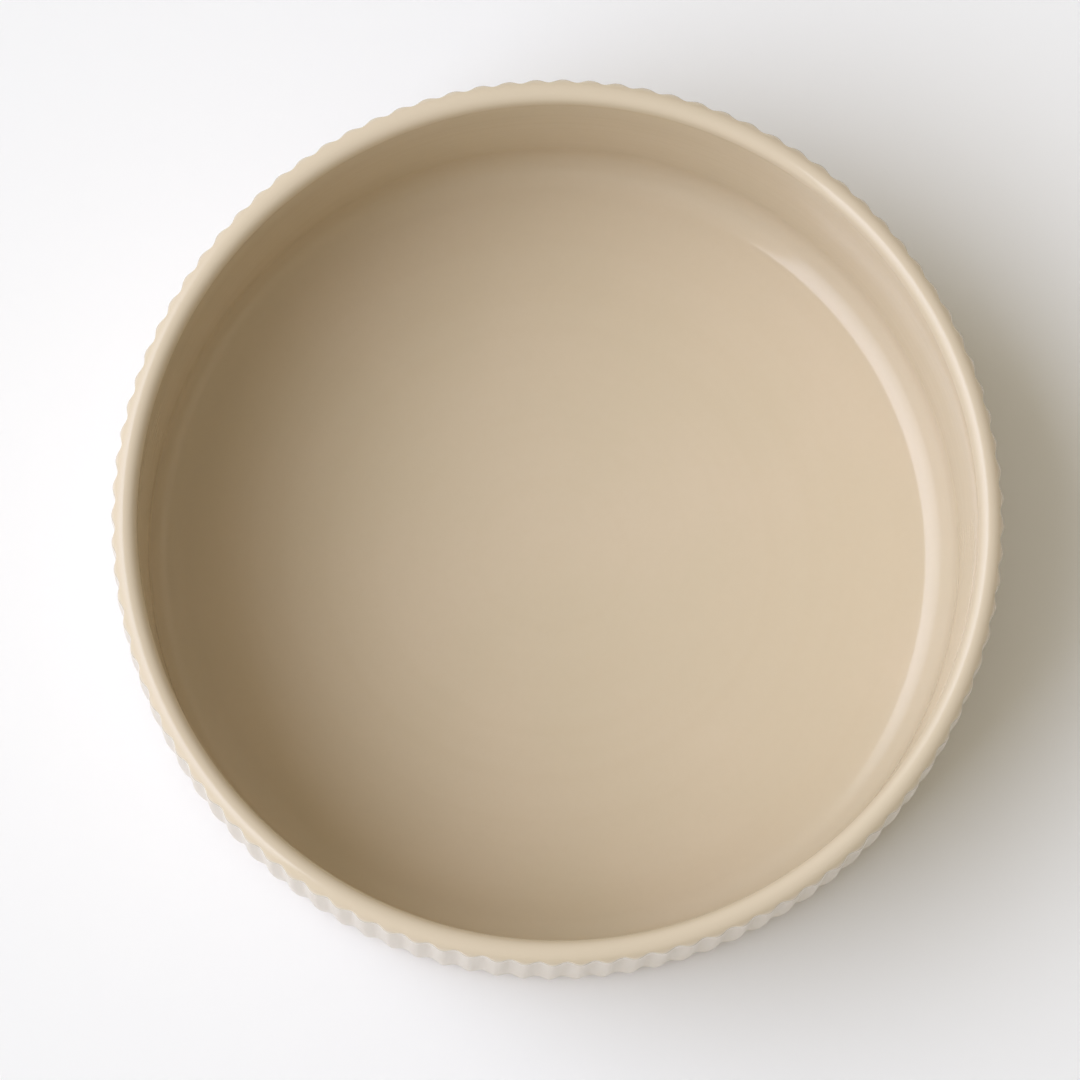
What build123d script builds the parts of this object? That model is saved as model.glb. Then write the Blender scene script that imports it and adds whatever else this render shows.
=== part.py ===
from build123d import *

import os

# Round fluted stoneware dish: a fired clay body and the glaze coats fused on it.
# Millimetres. The origin is the centre of the foot ring's underside, +Z points up
# through the mouth, and the tip of a flute lies on +X.

# Overall size
OUTER_RADIUS = 100.0        # to the tips of the flutes
HEIGHT = 75.0               # foot to rim
GLAZE = 0.4                 # thickness of every glaze coat

# Cavity, measured to the glazed surface
FLOOR_HEIGHT = 5.6          # glazed floor above the table
FLOOR_CORNER_RADIUS = 93.4  # where the wall would meet the floor, were it not rounded
MOUTH_RADIUS = 94.2         # wall at the rim, so the wall leans out slightly
FLOOR_ROUNDING = 8.5        # between floor and wall

# Rim
RIM_INNER_ROUNDING = 2.7
RIM_OUTER_ROUNDING = 3.2
SHOULDER_HEIGHT = HEIGHT - RIM_OUTER_ROUNDING   # the outer wall runs straight below this

# Flutes: a tight rounded tip and a wider hollow, repeated round the wall
FLUTE_COUNT = 100
FLUTE_DEPTH = 0.8
TIP_ROUNDING = 2.2
BLANK_RADIUS = OUTER_RADIUS + 0.2   # the turned blank, which the flutes are cut into

# Foot: a bare clay ring round a shallow glazed recess
FOOT_INNER_RADIUS = 84.0
FOOT_OUTER_RADIUS = 93.0
FOOT_STEP = 1.0             # how far the ring stands below the wall's bottom edge
FOOT_BEVEL = 0.6            # width of the ring's sloped sides
RECESS_HEIGHT = 1.6         # clay surface inside the ring, above the table
BASE_GLAZE_MARGIN = 1.5     # bare clay between the ring and the glaze in the recess
BASE_EDGE_BEVEL = 2.0       # bottom edge of the outer wall
GLAZE_LINE = FOOT_STEP + BASE_EDGE_BEVEL        # the outer glaze stops here

# A line that runs inside the clay, midway through the wall and the floor
MID_WALL_RADIUS = (OUTER_RADIUS + MOUTH_RADIUS) / 2
MID_FLOOR_HEIGHT = (FLOOR_HEIGHT + RECESS_HEIGHT) / 2


def cavity_and_rim(coat):
    """Corners of the cavity and rim from the axis outwards, set in by a coat."""
    return [
        (0, FLOOR_HEIGHT - coat),
        (FLOOR_CORNER_RADIUS + coat, FLOOR_HEIGHT - coat),
        (MOUTH_RADIUS + coat, HEIGHT - coat),
        (BLANK_RADIUS - coat, HEIGHT - coat),
    ]


def round_cavity_and_rim(section, coat):
    """Round the three corners of cavity_and_rim on the sketch being drawn."""
    _, floor_corner, rim_inner, rim_outer = cavity_and_rim(coat)
    roundings = [
        (floor_corner, FLOOR_ROUNDING + coat),
        (rim_inner, RIM_INNER_ROUNDING - coat),
        (rim_outer, RIM_OUTER_ROUNDING - coat),
    ]
    for corner, radius in roundings:
        fillet(section.vertices().sort_by_distance(corner)[0], radius)


def hollow_rounding():
    """Radius of the hollow that runs tangent into the tips on both sides of it."""
    tip_centre = OUTER_RADIUS - TIP_ROUNDING
    bottom = OUTER_RADIUS - FLUTE_DEPTH
    half_pitch = 180 / FLUTE_COUNT
    middle = Vector(bottom, 0).rotate(Axis.Z, half_pitch)
    across = (middle - Vector(tip_centre, 0)).length ** 2 - TIP_ROUNDING ** 2
    along = bottom - Vector(tip_centre, 0).dot(middle) / bottom - TIP_ROUNDING
    return -across / (2 * along)


def fluted_outline(coat):
    """Face bounded by the flutes' tips and hollows, set in by a coat."""
    hollow_radius = hollow_rounding()
    tip_centre = Vector(OUTER_RADIUS - TIP_ROUNDING, 0)
    hollow_centre = Vector(OUTER_RADIUS - FLUTE_DEPTH + hollow_radius, 0)
    tip = Vector(OUTER_RADIUS - coat, 0)
    hollow = Vector(OUTER_RADIUS - FLUTE_DEPTH - coat, 0)
    pitch = 360 / FLUTE_COUNT
    to_hollow = hollow_centre.rotate(Axis.Z, pitch / 2) - tip_centre
    after_tip = tip_centre + to_hollow.normalized() * (TIP_ROUNDING - coat)
    before_tip = Vector(after_tip.X, -after_tip.Y)
    with BuildSketch() as outline:
        with BuildLine():
            for number in range(FLUTE_COUNT):
                turn = number * pitch
                start = before_tip.rotate(Axis.Z, turn)
                end = after_tip.rotate(Axis.Z, turn)
                following = before_tip.rotate(Axis.Z, turn + pitch)
                ThreePointArc(start, tip.rotate(Axis.Z, turn), end)
                ThreePointArc(end, hollow.rotate(Axis.Z, turn + pitch / 2), following)
        make_face()
    return outline.sketch


clay_outline = fluted_outline(GLAZE)
glazed_outline = fluted_outline(0)

# Fired clay: floor, fluted wall and bare foot ring
with BuildPart() as stoneware_body:
    with BuildSketch(Plane.XZ) as clay_section:
        with BuildLine():
            Polyline(
                *cavity_and_rim(GLAZE),
                (BLANK_RADIUS - GLAZE, GLAZE_LINE),
                (BLANK_RADIUS - GLAZE - BASE_EDGE_BEVEL, FOOT_STEP),
                (FOOT_OUTER_RADIUS + FOOT_BEVEL, FOOT_STEP),
                (FOOT_OUTER_RADIUS, 0),
                (FOOT_INNER_RADIUS, 0),
                (FOOT_INNER_RADIUS - FOOT_BEVEL, RECESS_HEIGHT),
                (0, RECESS_HEIGHT),
                close=True,
            )
        make_face()
        round_cavity_and_rim(clay_section, GLAZE)
    revolve(axis=Axis.Z)
    with BuildSketch(Plane.XY):
        add(clay_outline)
    extrude(amount=HEIGHT, mode=Mode.INTERSECT)

# Glaze inside the dish and over its rim, down to the end of the rounded shoulder
with BuildPart() as liner_glaze:
    with BuildSketch(Plane.XZ) as liner_section:
        with BuildLine():
            Polyline(
                *cavity_and_rim(0),
                (BLANK_RADIUS, SHOULDER_HEIGHT - GLAZE),
                (MID_WALL_RADIUS, SHOULDER_HEIGHT - GLAZE),
                (MID_WALL_RADIUS, MID_FLOOR_HEIGHT),
                (0, MID_FLOOR_HEIGHT),
                close=True,
            )
        make_face()
        round_cavity_and_rim(liner_section, 0)
    revolve(axis=Axis.Z)
    with BuildSketch(Plane.XY):
        add(glazed_outline)
    extrude(amount=HEIGHT, mode=Mode.INTERSECT)
    add(stoneware_body.part, mode=Mode.SUBTRACT)

# Glaze on the fluted outer wall
with BuildPart() as outer_glaze:
    with BuildSketch(Plane.XY.offset(GLAZE_LINE)):
        add(glazed_outline)
        add(clay_outline, mode=Mode.SUBTRACT)
    extrude(amount=SHOULDER_HEIGHT - GLAZE - GLAZE_LINE)

# Glaze in the recess under the floor, inside the foot ring
with BuildPart() as base_glaze:
    with BuildSketch(Plane.XY.offset(RECESS_HEIGHT - GLAZE)):
        Circle(FOOT_INNER_RADIUS - FOOT_BEVEL - BASE_GLAZE_MARGIN)
    extrude(amount=GLAZE)
    fillet(base_glaze.edges().group_by(Axis.Z)[0], GLAZE / 2)

pieces = {
    "stoneware_body": stoneware_body,
    "liner_glaze": liner_glaze,
    "outer_glaze": outer_glaze,
    "base_glaze": base_glaze,
}
os.makedirs("parts", exist_ok=True)
for name, piece in pieces.items():
    piece.part.label = name
    export_step(piece.part, f"parts/{name}.step")
    size = piece.part.bounding_box().size
    print(f"{name}: {piece.part.volume:.0f} mm3, {size.X:.2f} x {size.Y:.2f} x {size.Z:.2f} mm")
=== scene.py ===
from math import cos, pi, radians, sin

import bpy
from mathutils import Matrix, Vector


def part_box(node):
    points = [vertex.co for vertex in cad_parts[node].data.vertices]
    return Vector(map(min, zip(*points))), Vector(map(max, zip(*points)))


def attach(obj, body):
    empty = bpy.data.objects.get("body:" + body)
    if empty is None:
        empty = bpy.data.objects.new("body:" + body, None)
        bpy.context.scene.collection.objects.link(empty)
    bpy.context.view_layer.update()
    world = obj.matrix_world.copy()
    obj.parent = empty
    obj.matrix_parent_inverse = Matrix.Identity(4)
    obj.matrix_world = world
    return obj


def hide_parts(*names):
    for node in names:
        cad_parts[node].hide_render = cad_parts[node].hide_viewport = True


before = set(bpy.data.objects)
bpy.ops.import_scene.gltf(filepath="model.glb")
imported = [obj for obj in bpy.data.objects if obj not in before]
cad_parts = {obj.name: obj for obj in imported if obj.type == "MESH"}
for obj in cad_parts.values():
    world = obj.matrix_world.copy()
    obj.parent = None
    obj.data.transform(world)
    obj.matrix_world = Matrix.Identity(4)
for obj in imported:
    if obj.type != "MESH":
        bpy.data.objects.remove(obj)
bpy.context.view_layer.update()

# ------------------------------------------------ the dish's sizes: lengths in metres

MM = 0.001
FLUTES = 100
COAT = 0.4 * MM                     # thickness of a glaze coat

liner_low, liner_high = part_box("liner_glaze")
outer_low, outer_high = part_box("outer_glaze")
base_low, base_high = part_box("base_glaze")

OUTER_RADIUS = outer_high.x         # to the tips of the flutes
RIM_HEIGHT = liner_high.z
FLOOR_HEIGHT = liner_low.z + COAT   # glazed floor
SEAM_HEIGHT = outer_high.z          # liner glaze above, outer glaze below
GLAZE_LINE = outer_low.z            # the outer glaze stops here, above the foot
RECESS_HEIGHT = base_high.z         # clay surface inside the foot ring
BASE_GLAZE_RADIUS = base_high.x

FLOOR_ROUNDING = 8.5 * MM
WALL_LEAN = 30                      # degrees off upright where that rounding starts to flatten out
WALL_RADIUS_LOW = 93.2 * MM
WALL_RADIUS_HIGH = 94.2 * MM
RIM_INNER_ROUNDING = 2.7 * MM
RIM_OUTER_ROUNDING = 3.0 * MM

BELLY_RISE = 0.034                  # how far the outer wall swells per metre below the rim at first
BELLY_CURVE = 0.72                  # how much less than that it swells, per metre further down
FLUTE_DEPTH = 0.88 * MM
FLUTE_POWER = 0.95                  # of the flutes' wave at the rim: below 1, the tips are narrow
FLUTE_POWER_FALL = 0.2              # how much lower it is at the foot, where the tips are narrower
MELTED_EDGE = 0.14 * MM             # how far glaze softens the edge of a flute on the shoulder

FOOT_OUTER_RADIUS = 93.0 * MM
FOOT_INNER_RADIUS = 84.0 * MM
FOOT_STEP = 1.0 * MM                # how far the ring stands below the wall's bottom edge
FOOT_ROUNDING = 0.6 * MM
FOOT_SPLAY = 0.3 * MM               # how far each side of the ring slopes out at its root
BASE_EDGE_ROUNDING = 2.0 * MM       # bottom edge of the outer wall
BASE_THINNING = 0.15                # the base glaze is thinner than a coat by this share of one,
BASE_BEAD_WIDTH = 2 * MM            # except along its edge, over this width

# Edges of glaze that were wiped by hand: how far they wander, over what width the coat follows,
# and waves as (number round the dish, phase)
GLAZE_LINE_WANDER = 0.25 * MM
GLAZE_LINE_WIDTH = 3 * MM
GLAZE_LINE_WAVES = (3, 0.4), (11, 2.0), (29, 5.1)
BASE_EDGE_WANDER = 0.35 * MM
BASE_EDGE_SHARE = 0.1               # of the disc's radius
BASE_EDGE_WAVES = (2, 1.1), (7, 4.0), (19, 0.3), (43, 2.2)

# How finely the meshes are divided
STEPS_PER_FLUTE = 12
AROUND = FLUTES * STEPS_PER_FLUTE
BASE_AROUND = 720
FLOOR_STEPS = 1                     # these six are multiplied by a profile's fineness
CORNER_STEPS = 8
BEND_STEPS = 4
WALL_STEPS = 2
RIM_INNER_STEPS = 5
RIM_OUTER_STEPS = 6
LINER_FINENESS = 2
FLUTED_WALL_STEPS = 16
HIDDEN_WALL_STEPS = 3
EDGE_STEPS = 6
FOOT_EDGE_STEPS = 5
RECESS_STEPS = 2
BASE_STEPS = 3
SAME_POINT = 1e-7                   # points closer than this are one
ON_AXIS = 1e-6                      # points closer to the axis than this lie on it
SHARP_EDGE = 50                     # degrees from which an edge is shaded as sharp


# ------------------------------------------------ profiles: points (radius, height, inset)

def arc(centre_radius, centre_height, radius, start, end, steps):
    """Points on an arc, angles in degrees from the outward direction, both ends included."""
    points = []
    for step in range(steps + 1):
        angle = radians(start + (end - start) * step / steps)
        points.append((centre_radius + radius * cos(angle), centre_height + radius * sin(angle)))
    return points


def line(start, end, steps=1):
    """Points on a straight line, both ends included."""
    return [
        tuple(a + (b - a) * step / steps for a, b in zip(start, end))
        for step in range(steps + 1)
    ]


def joined(*stretches, inset=0.0):
    """Stretches of points as one list, without the repeated point where two meet.

    A point that has no inset yet gets this one: how far it lies inside the glazed surface.
    """
    points = []
    for stretch in stretches:
        for point in stretch:
            point = tuple(point) + (inset,) * (3 - len(point))
            if not points or (Vector(point) - Vector(points[-1])).length > SAME_POINT:
                points.append(point)
    return points


def run_out(start, lean, radius, steps):
    """Points on a bend that goes on from an arc and flattens evenly until it is upright.

    Lean is how far the bend is off upright where it starts, in degrees.
    """
    length = 2 * radius * radians(lean)
    points = [start]
    reach, height = start
    for step in range(steps):
        share = 1 - (step + 0.5) / steps
        angle = radians(lean) * share * share
        reach += sin(angle) * length / steps
        height += cos(angle) * length / steps
        points.append((reach, height))
    return points


def cavity_profile(coat, fine):
    """From the axis along the floor, up the wall and over the rim to the seam, inset by a coat."""
    floor = FLOOR_HEIGHT - coat
    low = WALL_RADIUS_LOW + coat
    high = WALL_RADIUS_HIGH + coat
    rounding = FLOOR_ROUNDING + coat
    inner = RIM_INNER_ROUNDING - coat
    outer = RIM_OUTER_ROUNDING - coat
    top = RIM_HEIGHT - coat
    rim = OUTER_RADIUS - coat
    corner = arc(low - rounding, floor + rounding, rounding, -90, -WALL_LEAN, CORNER_STEPS * fine)
    bend = run_out(corner[-1], WALL_LEAN, rounding, BEND_STEPS * fine)
    return joined(
        line((0, floor), corner[0], FLOOR_STEPS * fine),
        corner,
        bend,
        line(bend[-1], (high, top - inner), WALL_STEPS * fine),
        arc(high + inner, top - inner, inner, 180, 90, RIM_INNER_STEPS * fine),
        arc(rim - outer, top - outer, outer, 90, 0, RIM_OUTER_STEPS * fine),
        line((rim, top - outer), (rim, SEAM_HEIGHT)),
        inset=coat,
    )


def liner_profile():
    """The liner glaze: over the cavity and rim outside, back along the clay."""
    return joined(cavity_profile(0, LINER_FINENESS), cavity_profile(COAT, 1)[::-1])


def outer_profile():
    """The outer glaze: from the seam to a bead at the glaze line, and back along the clay."""
    bead = COAT / 2
    end = GLAZE_LINE + bead
    clay = OUTER_RADIUS - COAT
    face = line((OUTER_RADIUS, SEAM_HEIGHT), (OUTER_RADIUS, end), FLUTED_WALL_STEPS)
    edge = [
        (radius, height, OUTER_RADIUS - radius)
        for radius, height in arc(OUTER_RADIUS - bead, end, bead, 0, -180, EDGE_STEPS)
    ]
    back = joined(line((clay, end), (clay, SEAM_HEIGHT)), inset=COAT)
    return joined(face, edge, back)


def clay_profile():
    """The clay: along the cavity, down the outer wall, round the foot ring and back to the axis."""
    wall = OUTER_RADIUS - COAT
    edge = BASE_EDGE_ROUNDING
    foot = FOOT_ROUNDING
    return joined(
        cavity_profile(COAT, 1),
        line((wall, SEAM_HEIGHT), (wall, FOOT_STEP + edge), HIDDEN_WALL_STEPS),
        arc(wall - edge, FOOT_STEP + edge, edge, 0, -90, EDGE_STEPS),
        line((wall - edge, FOOT_STEP), (FOOT_OUTER_RADIUS + FOOT_SPLAY, FOOT_STEP)),
        arc(FOOT_OUTER_RADIUS - foot, foot, foot, 0, -90, FOOT_EDGE_STEPS),
        arc(FOOT_INNER_RADIUS + foot, foot, foot, -90, -180, FOOT_EDGE_STEPS),
        line((FOOT_INNER_RADIUS - FOOT_SPLAY, RECESS_HEIGHT), (0, RECESS_HEIGHT), RECESS_STEPS),
        inset=COAT,
    )


def base_profile():
    """The glaze in the recess: a disc with a rounded edge, a little thicker along that edge."""
    bead = COAT / 2
    edge = BASE_GLAZE_RADIUS - bead
    thin = base_low.z + COAT * BASE_THINNING
    return joined(
        line((0, RECESS_HEIGHT), (edge, RECESS_HEIGHT), RECESS_STEPS),
        arc(edge, RECESS_HEIGHT - bead, bead, 90, -90, EDGE_STEPS),
        line((BASE_GLAZE_RADIUS - BASE_BEAD_WIDTH, thin), (0, thin), BASE_STEPS),
    )


# ------------------------------------------------ shapes that the turned profiles take on

def smooth(value):
    """0 below 0, 1 above 1, and a smooth step between."""
    value = min(1, max(0, value))
    return value * value * (3 - 2 * value)


def wander(angle, waves):
    """A slow unevenness round the dish, between about -1 and 1."""
    return sum(sin(count * angle + phase) for count, phase in waves) / len(waves)


def belly(radius, height):
    """How far the outer wall swells out of, or falls in from, an upright line under the rim."""
    drop = max(0, RIM_HEIGHT - height)
    bottom_edge = OUTER_RADIUS - COAT - BASE_EDGE_ROUNDING
    outside = smooth((radius - FOOT_OUTER_RADIUS) / (bottom_edge - FOOT_OUTER_RADIUS))
    return outside * drop * (BELLY_RISE - BELLY_CURVE * drop)


def fluted(radius, height, inset, angle):
    """Cuts the flutes into the outer wall and its shoulder, and swells the wall slightly."""
    drop = RIM_HEIGHT - height
    wave = (1 - cos(FLUTES * angle)) / 2
    power = FLUTE_POWER - FLUTE_POWER_FALL * smooth(drop / RIM_HEIGHT)
    limit = OUTER_RADIUS - inset - FLUTE_DEPTH * wave ** power
    excess = radius - limit
    blend = max(0, (excess + MELTED_EDGE) / (2 * MELTED_EDGE))
    cut = blend * blend * MELTED_EDGE if blend < 1 else excess
    return radius - cut + belly(radius, height), height


def glaze_edge(radius, height, inset, angle):
    """The fluted outer coat, with a lower edge that was wiped by hand and so wanders."""
    radius, height = fluted(radius, height, inset, angle)
    near = smooth(1 - (height - GLAZE_LINE) / GLAZE_LINE_WIDTH)
    return radius, height + near * GLAZE_LINE_WANDER * (1 + wander(angle, GLAZE_LINE_WAVES))


def wiped_disc(radius, height, inset, angle):
    """The base glaze, with an edge that was wiped by hand."""
    inside = (1 - BASE_EDGE_SHARE) * BASE_GLAZE_RADIUS
    near = smooth((radius - inside) / (BASE_GLAZE_RADIUS - inside))
    return radius - near * BASE_EDGE_WANDER * (1 + wander(angle, BASE_EDGE_WAVES)), height


# ------------------------------------------------ meshes

def turned(name, profile, shape, around):
    """A closed turned mesh: every point of the profile becomes a ring, shaped point by point."""
    vertices = []
    faces = []
    rings = []
    angles = [2 * pi * step / around for step in range(around)]
    for radius, height, inset in profile:
        if radius < ON_AXIS:
            rings.append([len(vertices)])
            vertices.append((0, 0, height))
            continue
        rings.append(range(len(vertices), len(vertices) + around))
        for angle in angles:
            reach, level = shape(radius, height, inset, angle)
            vertices.append((reach * cos(angle), reach * sin(angle), level))
    pairs = list(zip(rings, rings[1:]))
    if len(rings[0]) > 1:
        pairs.append((rings[-1], rings[0]))
    for low, high in pairs:
        for step in range(around):
            after = (step + 1) % around
            if len(low) == 1:
                faces.append((low[0], high[after], high[step]))
            elif len(high) == 1:
                faces.append((low[step], low[after], high[0]))
            else:
                faces.append((low[step], low[after], high[after], high[step]))
    mesh = bpy.data.meshes.new(name)
    mesh.from_pydata(vertices, [], faces)
    mesh.validate()
    for polygon in mesh.polygons:
        polygon.use_smooth = True
    mesh.set_sharp_from_angle(angle=radians(SHARP_EDGE))
    piece = bpy.data.objects.new(name, mesh)
    bpy.context.scene.collection.objects.link(piece)
    return piece


# ------------------------------------------------ node trees

class Nodes:
    """A short way to build a node tree. A value is a number, a colour or another node's output."""

    def __init__(self, owner, shader, coordinates):
        owner.use_nodes = True
        self.owner = owner
        self.tree = owner.node_tree
        self.shader = self.tree.nodes[shader]
        self.place = self.tree.nodes.new("ShaderNodeTexCoord").outputs[coordinates]

    def put(self, value, socket):
        """Links an output to a socket, or sets a constant on it."""
        if isinstance(value, bpy.types.NodeSocket):
            self.tree.links.new(value, socket)
        else:
            socket.default_value = value

    def shade(self, **values):
        """Puts values on the shader's inputs, named with underscores for spaces."""
        for name, value in values.items():
            self.put(value, self.shader.inputs[name.replace("_", " ")])

    def math(self, operation, *values):
        node = self.tree.nodes.new("ShaderNodeMath")
        node.operation = operation
        for value, socket in zip(values, node.inputs):
            self.put(value, socket)
        return node.outputs[0]

    def product(self, first, second):
        return self.math("MULTIPLY", first, second)

    def split(self, vector):
        """A vector's x, y and z."""
        node = self.tree.nodes.new("ShaderNodeSeparateXYZ")
        self.put(vector, node.inputs[0])
        return node.outputs

    def join(self, *parts):
        """A vector from its x, y and z."""
        node = self.tree.nodes.new("ShaderNodeCombineXYZ")
        for part, socket in zip(parts, node.inputs):
            self.put(part, socket)
        return node.outputs[0]

    def length(self, x, y):
        return self.math("SQRT", self.math("ADD", self.product(x, x), self.product(y, y)))

    def dot(self, vector, other):
        node = self.tree.nodes.new("ShaderNodeVectorMath")
        node.operation = "DOT_PRODUCT"
        self.put(vector, node.inputs[0])
        self.put(other, node.inputs[1])
        return node.outputs["Value"]

    def noise(self, size, detail, roughness=0.5, place=None):
        """Noise from 0 to 1 with features of about that size, in metres."""
        node = self.tree.nodes.new("ShaderNodeTexNoise")
        node.inputs["Scale"].default_value = 1 / size
        node.inputs["Detail"].default_value = detail
        node.inputs["Roughness"].default_value = roughness
        self.put(place or self.place, node.inputs["Vector"])
        return node.outputs["Fac"]

    def cells(self, size):
        """Distance to the nearest of points scattered about that far apart, in metres."""
        node = self.tree.nodes.new("ShaderNodeTexVoronoi")
        node.inputs["Scale"].default_value = 1 / size
        self.put(self.place, node.inputs["Vector"])
        return node.outputs["Distance"]

    def ramp(self, value, low, high, start=0.0, end=1.0, kind="SMOOTHSTEP"):
        """Value mapped from low..high to start..end, and held at the ends."""
        node = self.tree.nodes.new("ShaderNodeMapRange")
        node.interpolation_type = kind
        for number, socket in zip((value, low, high, start, end), node.inputs):
            self.put(number, socket)
        return node.outputs["Result"]

    def fade(self, share, first, second):
        """First where share is 0, second where it is 1, and evenly between."""
        return self.ramp(share, 0.0, 1.0, first, second, kind="LINEAR")

    def mix(self, share, first, second):
        """Two colours mixed by share."""
        node = self.tree.nodes.new("ShaderNodeMix")
        node.data_type = "RGBA"
        self.put(share, node.inputs["Factor"])
        for colour, name in ((first, "A_Color"), (second, "B_Color")):
            self.put(colour, next(s for s in node.inputs if s.identifier == name))
        return next(s for s in node.outputs if s.identifier == "Result_Color")

    def bump(self, height, distance, normal=None):
        """A normal for relief of that depth, in metres, on top of another normal if given."""
        node = self.tree.nodes.new("ShaderNodeBump")
        node.inputs["Strength"].default_value = 1.0
        node.inputs["Distance"].default_value = distance
        self.put(height, node.inputs["Height"])
        if normal is not None:
            self.put(normal, node.inputs["Normal"])
        return node.outputs["Normal"]


def material_nodes(name):
    return Nodes(bpy.data.materials.new(name), "Principled BSDF", "Object")


# ------------------------------------------------ glaze

GLAZE_COLOUR = (0.675, 0.562, 0.405, 1)
GLAZE_THIN = (0.703, 0.588, 0.430, 1)      # where it has run thin, on edges and tips
GLAZE_POOLED = (0.612, 0.490, 0.325, 1)    # where it has gathered, in hollows
GLAZE_CLOUD = (0.658, 0.552, 0.392, 1)     # slow drift of tone across the coat
GLAZE_PAINTED_REFLECTION = (0.660, 0.620, 0.590, 1)     # painted reflection: the grey of the pale table that the fluted wall reflects when seen at a grazing angle
GLAZE_IOR = 1.52

LINER_SHINE = 0.36                         # strength of the reflection inside and over the rim
WALL_SHINE = 0.50                          # and on the fluted wall
LINER_GLOSS = 0.09                         # roughness of the coat inside and over the rim
WALL_SATIN = 0.277                         # and on the fluted wall, which the shoulder fades into
DULLER = 0.015                             # how much rougher either is in patches
LINER_PATCH = 6 * MM
WALL_PATCH = 40 * MM
PATCH_RANGE = (0.3, 0.7)                   # noise at which patches start and are full

CLOUD_SIZE = 45 * MM
CLOUD_RANGE = (0.35, 0.65)
MOTTLE_SIZE = 1.6 * MM
MOTTLE_RANGE = (0.3, 0.75)
LINER_MOTTLING = 0.10                      # how far the mottle goes towards the pooled colour
WALL_MOTTLING = 0.04

STREAK_SIZE = 5 * MM                       # width of the turning streaks inside
STREAK_DRIFT = 0.03                        # how fast they change along their length
STREAK_RANGE = (0.4, 0.75)
STREAK_TONE = 0.10
STREAK_RELIEF = 0.03 * MM
WAVE_SIZE = 30 * MM                        # slow waves of the surface
WAVE_RELIEF = 0.02 * MM
PEEL_SIZE = 2.5 * MM                       # faint orange peel inside
PEEL_RELIEF = 0.0006 * MM

THIN_RIM = 1.6 * MM                        # the glaze thins over the topmost part of the rim
THIN_RIM_SHARE = 0.6
POOLED_LOW = 5 * MM                        # and gathers over the lowest part of the fluted wall
POOLED_LOW_SHARE = 0.35
SHOULDER_TOP = RIM_HEIGHT - 0.6 * MM       # the wall's look starts to show below this
SHOULDER_RADII = (OUTER_RADIUS - 3 * MM, OUTER_RADIUS - 1 * MM)     # and between these
TIP_RANGE = (0.35, 1.0)                    # of the flutes' cosine, which is 1 on a tip
TIP_SHARE = 0.75
HOLLOW_RANGE = (-0.2, -1.0)
HOLLOW_SHARE = 0.40
# how far the fluted wall's colour goes towards that painted reflection grey
PAINTED_REFLECTION_SHARE = 0.35


def turned_place(n):
    """A place in which noise runs round the dish in long streaks, as turning leaves them."""
    x, y, height = n.split(n.place)
    drifting = n.math("MULTIPLY_ADD", x, STREAK_DRIFT, n.length(x, y))
    return n.join(drifting, height, n.product(y, STREAK_DRIFT))


def glaze_tone(n, mottling):
    """The coat's colour before it runs: slow clouds of tone and a faint fine mottle."""
    clouds = n.ramp(n.noise(CLOUD_SIZE, detail=3), *CLOUD_RANGE)
    mottle = n.ramp(n.noise(MOTTLE_SIZE, detail=4, roughness=0.6), *MOTTLE_RANGE, 0.0, mottling)
    return n.mix(mottle, n.mix(clouds, GLAZE_COLOUR, GLAZE_CLOUD), GLAZE_POOLED)


def glaze_on_flutes(n, colour, x, y, outside):
    """The colour thinned on the tips, pooled in the hollows and greyed by a painted reflection of
    the table, by the share outside.
    """
    wave = n.math("COSINE", n.product(n.math("ARCTAN2", y, x), float(FLUTES)))
    thin = n.ramp(wave, *TIP_RANGE, 0.0, TIP_SHARE)
    pooled = n.ramp(wave, *HOLLOW_RANGE, 0.0, HOLLOW_SHARE)
    colour = n.mix(n.product(outside, thin), colour, GLAZE_THIN)
    colour = n.mix(n.product(outside, pooled), colour, GLAZE_POOLED)
    # painted reflection: greys the wall's colour towards the table it reflects
    return n.mix(n.product(outside, PAINTED_REFLECTION_SHARE), colour, GLAZE_PAINTED_REFLECTION)


def shade_glaze(n, colour, gloss, patch_size, shine, normal):
    """Puts the coat's look on its shader. The gloss is duller in patches."""
    patches = n.ramp(n.noise(patch_size, detail=3), *PATCH_RANGE, 0.0, DULLER)
    n.shade(
        Base_Color=colour,
        Roughness=n.math("ADD", gloss, patches),
        IOR=GLAZE_IOR,
        Specular_IOR_Level=shine,
        Normal=normal,
    )
    return n.owner


def liner_material():
    """The gloss coat inside and over the rim, which fades into the fluted wall's look outside."""
    n = material_nodes("liner_glaze_beige")
    x, y, height = n.split(n.place)
    below_rim = n.ramp(height, SHOULDER_TOP, SEAM_HEIGHT)
    outside = n.product(below_rim, n.ramp(n.length(x, y), *SHOULDER_RADII))
    gloss = n.math("MULTIPLY_ADD", outside, WALL_SATIN - LINER_GLOSS, LINER_GLOSS)
    shine = n.math("MULTIPLY_ADD", outside, WALL_SHINE - LINER_SHINE, LINER_SHINE)

    streaks = n.noise(STREAK_SIZE, detail=2, place=turned_place(n))
    rim = n.ramp(height, RIM_HEIGHT - THIN_RIM, RIM_HEIGHT, 0.0, THIN_RIM_SHARE)
    colour = glaze_tone(n, LINER_MOTTLING)
    colour = n.mix(n.ramp(streaks, *STREAK_RANGE, 0.0, STREAK_TONE), colour, GLAZE_POOLED)
    colour = n.mix(rim, colour, GLAZE_THIN)
    # outside, this includes the painted reflection grey of the fluted wall
    colour = glaze_on_flutes(n, colour, x, y, outside)

    normal = n.bump(n.noise(WAVE_SIZE, detail=0), WAVE_RELIEF)
    normal = n.bump(streaks, STREAK_RELIEF, normal)
    normal = n.bump(n.noise(PEEL_SIZE, detail=0), PEEL_RELIEF, normal)
    return shade_glaze(n, colour, gloss, LINER_PATCH, shine, normal)


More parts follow.
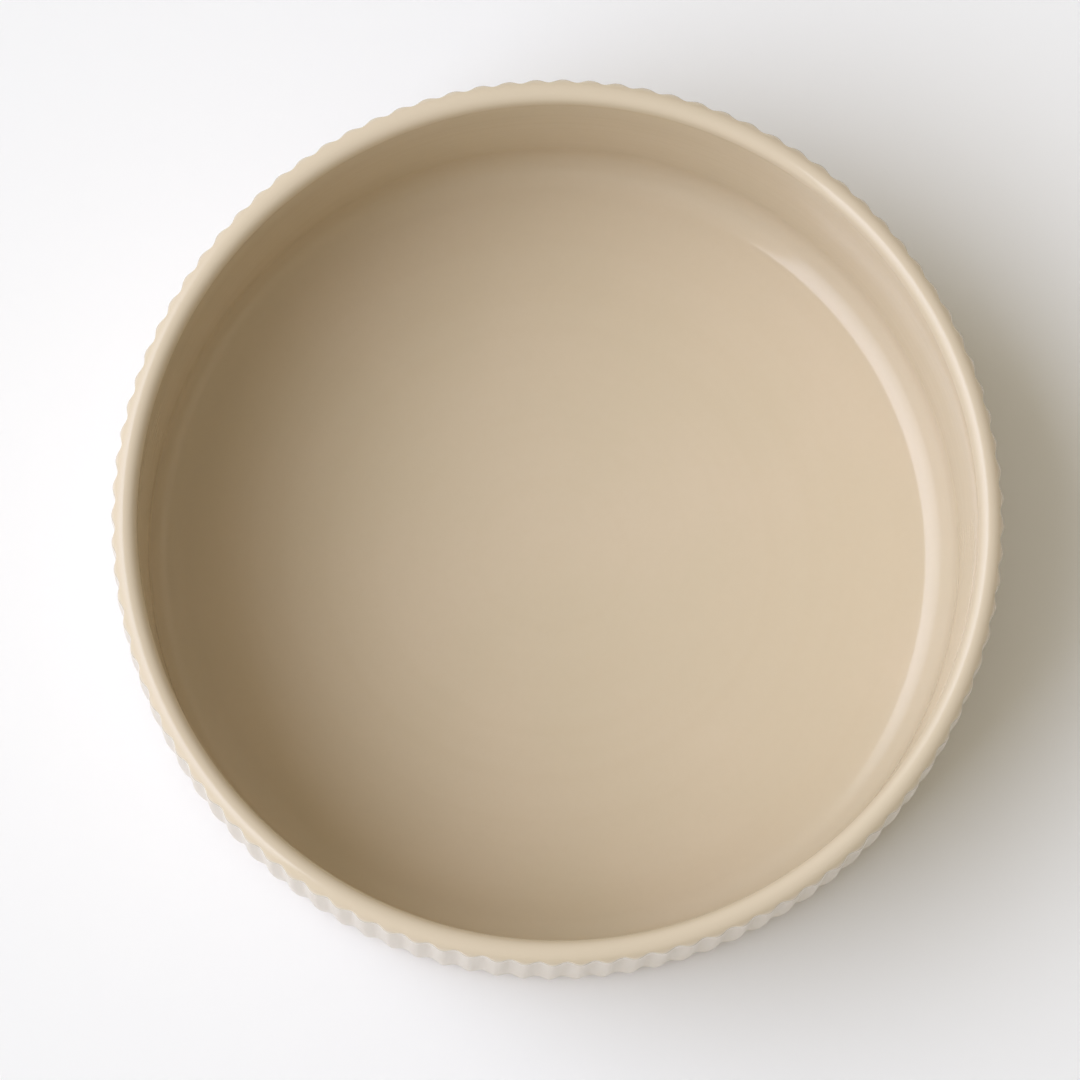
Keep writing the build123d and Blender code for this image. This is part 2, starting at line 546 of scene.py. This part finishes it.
def wall_material():
    """The satin coat on the fluted wall, pooled a little just above the glaze line."""
    n = material_nodes("outer_glaze_beige")
    x, y, height = n.split(n.place)
    low = n.ramp(height, GLAZE_LINE + POOLED_LOW, GLAZE_LINE, 0.0, POOLED_LOW_SHARE)
    colour = n.mix(low, glaze_tone(n, WALL_MOTTLING), GLAZE_POOLED)
    # the fluted wall's colour includes a painted reflection of the table
    colour = glaze_on_flutes(n, colour, x, y, 1.0)
    normal = n.bump(n.noise(WAVE_SIZE, detail=0), WAVE_RELIEF)
    return shade_glaze(n, colour, WALL_SATIN, WALL_PATCH, WALL_SHINE, normal)


# ------------------------------------------------ clay

CLAY_COLOUR = (0.58, 0.44, 0.31, 1)
CLAY_PALE = (0.70, 0.57, 0.43, 1)
CLAY_GRIT = (0.26, 0.17, 0.11, 1)
CLAY_ROUGHNESS = (0.72, 0.92)              # smoothest and roughest grain

PALE_SIZE = 12 * MM
PALE_RANGE = (0.3, 0.7)
GRAIN_SIZE = 0.35 * MM
GRAIN_TONE_RANGE = (0.35, 0.7)
GRAIN_TONE = 0.35
GRAIN_RANGE = (0.3, 0.7)
GRAIN_RELIEF = 0.06 * MM
GRIT_SPACING = 1.1 * MM
GRIT_EDGE = (0.24, 0.12)                   # in spacings, from a speck's outside to its inside
GRIT_PATCH = 3.1 * MM                      # specks show only in some patches of this size
GRIT_FROM = 0.62
GRIT_SHARE = 0.8
TURNING_PITCH = 0.9 * MM                   # between the marks that a turning tool left
TURNING_RELIEF = 0.012 * MM


def clay_material():
    """Bare fired clay: matt, with a fine grain, turning marks and a few dark specks of grit."""
    n = material_nodes("fired_clay")
    pale = n.ramp(n.noise(PALE_SIZE, detail=4), *PALE_RANGE)
    grain = n.noise(GRAIN_SIZE, detail=5, roughness=0.65)
    colour = n.mix(pale, CLAY_COLOUR, CLAY_PALE)
    colour = n.mix(n.ramp(grain, *GRAIN_TONE_RANGE, 0.0, GRAIN_TONE), colour, CLAY_PALE)
    chosen = n.math("GREATER_THAN", n.noise(GRIT_PATCH, detail=0), GRIT_FROM)
    specks = n.product(n.ramp(n.cells(GRIT_SPACING), *GRIT_EDGE), chosen)
    colour = n.mix(n.product(specks, GRIT_SHARE), colour, CLAY_GRIT)
    x, y, _ = n.split(n.place)
    marks = n.math("SINE", n.product(n.length(x, y), 2 * pi / TURNING_PITCH))
    n.shade(
        Base_Color=colour,
        Roughness=n.ramp(grain, *GRAIN_RANGE, *CLAY_ROUGHNESS),
        Normal=n.bump(grain, GRAIN_RELIEF, n.bump(marks, TURNING_RELIEF)),
    )
    return n.owner


# ------------------------------------------------ the pieces

def add_piece(name, profile, shape, node, material, around=AROUND):
    """A turned piece that stands for a CAD node."""
    piece = turned(name, profile, shape, around)
    piece.data.materials.append(material)
    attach(piece, "root")
    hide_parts(node)


liner = liner_material()
wall = wall_material()

add_piece("liner_glaze_coat", liner_profile(), fluted, "liner_glaze", liner)
add_piece("outer_glaze_coat", outer_profile(), glaze_edge, "outer_glaze", wall)
add_piece("stoneware_clay", clay_profile(), fluted, "stoneware_body", clay_material())
add_piece(
    "base_glaze_coat", base_profile(), wiped_disc, "base_glaze", liner, BASE_AROUND
)


# ------------------------------------------------ table

TABLE_SIZE = 10
TABLE_COLOUR = (0.90, 0.89, 0.86, 1)
TABLE_ROUGHNESS = 0.9


def add_table():
    """A plain pale table top without any shine."""
    mesh = bpy.data.meshes.new("floor")
    half = TABLE_SIZE / 2
    corners = [(-half, -half, 0), (half, -half, 0), (half, half, 0), (-half, half, 0)]
    mesh.from_pydata(corners, [], [(0, 1, 2, 3)])
    piece = bpy.data.objects.new("floor", mesh)
    bpy.context.scene.collection.objects.link(piece)
    n = material_nodes("pale_floor")
    n.shade(Base_Color=TABLE_COLOUR, Roughness=TABLE_ROUGHNESS, Specular_IOR_Level=0.0)
    mesh.materials.append(n.owner)


# ------------------------------------------------ light

def direction(azimuth, elevation):
    """Unit vector towards an azimuth (counter-clockwise from +X) and an elevation, in degrees."""
    flat = cos(radians(elevation))
    return Vector((
        flat * cos(radians(azimuth)),
        flat * sin(radians(azimuth)),
        sin(radians(elevation)),
    ))


# A large softbox to the dish's left, seen from the dish between these edges, in degrees. Each
# edge's softness is in the sine of the angle from it.
SOFTBOX_NEAR = 227                  # azimuth of its sharp upright edge
SOFTBOX_NEAR_TOP = 76               # elevation of its top corner there
SOFTBOX_NEAR_SOFTNESS = 0.012
SOFTBOX_FAR = 137                   # azimuth of its soft upright edge
SOFTBOX_FAR_TOP = 58
SOFTBOX_FAR_SOFTNESS = 0.16
SOFTBOX_TOP_SOFTNESS = 0.015
SOFTBOX_LOW = 9                     # elevation of its lower edge
SOFTBOX_LOW_SOFTNESS = 0.05

SOFTBOX_RADIANCE = 4.45             # at its brightest, where a direction's height is SOFTBOX_BRIGHT
SOFTBOX_DIM = 1.15                  # and at its dimmest, where it is SOFTBOX_DARK
SOFTBOX_BRIGHT = 0.85
SOFTBOX_DARK = 0.36
SOFTBOX_COLOUR = (0.93, 0.99, 1.16, 1)
ROOM_RADIANCE = 0.38                # at the horizon
CEILING_RADIANCE = 0.53             # overhead
ROOM_FAR_SHARE = 0.45               # of it that is left at the horizon away from the softbox
ROOM_SIDE_SHARE = 1.30              # and at the horizon to both sides of the line to the softbox
ROOM_COLOUR = (1.0, 0.92, 0.76, 1)


def softbox_shape(n):
    """1 in the directions of the softbox and 0 elsewhere, with soft edges."""
    corners = direction(SOFTBOX_NEAR, SOFTBOX_NEAR_TOP), direction(SOFTBOX_FAR, SOFTBOX_FAR_TOP)
    edges = [
        (-direction(SOFTBOX_NEAR + 90, 0), 0.0, SOFTBOX_NEAR_SOFTNESS),
        (direction(SOFTBOX_FAR + 90, 0), 0.0, SOFTBOX_FAR_SOFTNESS),
        (corners[0].cross(corners[1]).normalized(), 0.0, SOFTBOX_TOP_SOFTNESS),
        (Vector((0, 0, 1)), sin(radians(SOFTBOX_LOW)), SOFTBOX_LOW_SOFTNESS),
    ]
    shape = 1.0
    for inwards, edge, softness in edges:
        inside = n.ramp(n.dot(n.place, inwards), edge - softness, edge + softness)
        shape = n.product(shape, inside)
    return shape


def add_light():
    """The studio: a dim warm room with one big softbox, far enough away to be part of the world."""
    world = bpy.data.worlds.new("studio")
    bpy.context.scene.world = world
    n = Nodes(world, "Background", "Generated")
    x, y, height = n.split(n.place)
    shape = softbox_shape(n)
    softbox = n.ramp(
        height, SOFTBOX_DARK, SOFTBOX_BRIGHT, SOFTBOX_DIM, SOFTBOX_RADIANCE, kind="LINEAR"
    )
    room = n.product(
        n.fade(height, ROOM_RADIANCE, CEILING_RADIANCE),
        n.fade(x, 1.0, ROOM_FAR_SHARE),
    )
    room = n.product(room, n.fade(n.math("ABSOLUTE", y), 1.0, ROOM_SIDE_SHARE))
    n.shade(Color=n.mix(shape, ROOM_COLOUR, SOFTBOX_COLOUR), Strength=n.fade(shape, room, softbox))


# ------------------------------------------------ camera

CAMERA_DISTANCE = 18.4 * OUTER_RADIUS
CAMERA_REACH = 100                  # how far it sees
CAMERA_TILT = 6.8                   # degrees off straight down
CAMERA_AZIMUTH = 263.5              # of the side that it is tilted towards, in degrees
PICTURE_TURN = 0.63                 # how far the picture is turned against the flutes, in degrees
RIM_SHARE = 0.4139                  # rim radius over the picture's width
RIM_RIGHT = 0.0168                  # rim centre right of the picture's centre, over its width
RIM_UP = 0.0196                     # and above it
SENSOR = 36                         # millimetres, as the lens


def add_camera():
    """Almost straight down, with a long lens, tilted towards the near side of the dish."""
    data = bpy.data.cameras.new("camera")
    data.sensor_width = SENSOR
    data.lens = SENSOR * CAMERA_DISTANCE * RIM_SHARE / OUTER_RADIUS
    data.clip_end = CAMERA_REACH
    camera = bpy.data.objects.new("camera", data)
    bpy.context.scene.collection.objects.link(camera)
    rim_centre = Vector((0, 0, RIM_HEIGHT))
    camera.location = rim_centre + direction(CAMERA_AZIMUTH, 90 - CAMERA_TILT) * CAMERA_DISTANCE
    width = OUTER_RADIUS / RIM_SHARE
    picture_up = direction(90 + PICTURE_TURN, 0)

    def axes(target):
        back = (camera.location - target).normalized()
        right = picture_up.cross(back).normalized()
        return right, back.cross(right), back

    right, up, _ = axes(rim_centre)
    right, up, back = axes(rim_centre - right * RIM_RIGHT * width - up * RIM_UP * width)
    camera.rotation_mode = "QUATERNION"
    camera.rotation_quaternion = Matrix((right, up, back)).transposed().to_quaternion()
    bpy.context.scene.camera = camera


add_table()
add_light()
add_camera()
bpy.context.scene.view_settings.view_transform = "Standard"
